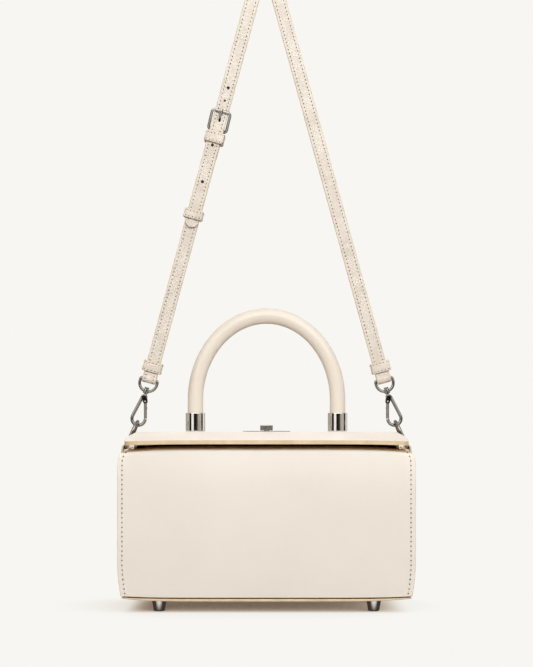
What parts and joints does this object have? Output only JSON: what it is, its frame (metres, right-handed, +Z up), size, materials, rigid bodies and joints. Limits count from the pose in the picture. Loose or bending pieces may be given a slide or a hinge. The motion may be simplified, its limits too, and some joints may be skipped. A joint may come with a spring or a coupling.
{
  "type": "box bag with a top handle, a turn lock and a hanging shoulder strap",
  "caption": "Small box bag of smooth cream leather with a round top handle, turn lock, metal feet and a slim shoulder strap hanging from above.",
  "frame": {"origin": "where the strap hangs: the underside of its highest point, over the middle of the bag", "axes": "+Z up, +X to the right seen from the front, the bag's front faces -Y"},
  "size_m": [0.2236, 0.1028, 0.499],
  "materials": {
    "body_leather": "smooth cream calf leather with a soft shine, tan painted edges",
    "handle_leather": "smooth cream leather drawn over a round core",
    "strap_leather": "lightly grained cream leather, stitched along both edges",
    "polished_metal": "mirror polished nickel",
    "hook_metal": "polished dark nickel",
    "lock_metal": "polished gunmetal"
  },
  "bodies": {
    "bag": {"front_panel": "body_leather", "back_panel": "body_leather", "base_panel": "body_leather", "gusset_left": "body_leather", "gusset_right": "body_leather", "lid": "body_leather", "handle": "handle_leather", "ferrule_left": "polished_metal", "ferrule_right": "polished_metal", "lock_plate": "lock_metal", "foot_front_left": "polished_metal", "foot_rear_left": "polished_metal", "foot_front_right": "polished_metal", "foot_rear_right": "polished_metal", "ring_left": "hook_metal", "ring_right": "hook_metal", "ring_tab_left": "strap_leather", "ring_tab_right": "strap_leather", "bow_left": "hook_metal", "bow_right": "hook_metal", "strap_short": "strap_leather", "strap_long": "strap_leather", "buckle_frame": "hook_metal", "buckle_prong": "hook_metal", "keeper_left": "strap_leather", "keeper_right": "strap_leather", "keeper_tongue": "strap_leather", "keeper_buckle": "strap_leather"},
    "knob": {"lock_knob": "lock_metal"},
    "swivel_left": {"hook_left": "hook_metal"},
    "swivel_right": {"hook_right": "hook_metal"},
    "catch_left": {"gate_left": "hook_metal"},
    "catch_right": {"gate_right": "hook_metal"}
  },
  "joints": [
    {"name": "lock_turn", "type": "hinge", "parent": "bag", "child": "knob", "pos_m": [0, -0.0115, -0.36], "axis": [0, 0, 1], "range_deg": [0, 90]},
    {"name": "hook_swivel_left", "type": "hinge", "parent": "bag", "child": "swivel_left", "pos_m": [-0.09276, 0, -0.33298], "axis": [0.2638, 0, 0.9646], "range_deg": [-30, 30]},
    {"name": "hook_swivel_right", "type": "hinge", "parent": "bag", "child": "swivel_right", "pos_m": [0.09276, 0, -0.33298], "axis": [-0.2638, 0, 0.9646], "range_deg": [-30, 30]},
    {"name": "gate_hinge_left", "type": "hinge", "parent": "swivel_left", "child": "catch_left", "pos_m": [-0.09306, 0, -0.34016], "axis": [0, 1, 0], "range_deg": [0, 20], "stiffness_Nm_per_rad": 0.005, "springref_deg": -17.19},
    {"name": "gate_hinge_right", "type": "hinge", "parent": "swivel_right", "child": "catch_right", "pos_m": [0.09306, 0, -0.34016], "axis": [0, -1, 0], "range_deg": [0, 20], "stiffness_Nm_per_rad": 0.005, "springref_deg": -17.19}
  ]
}
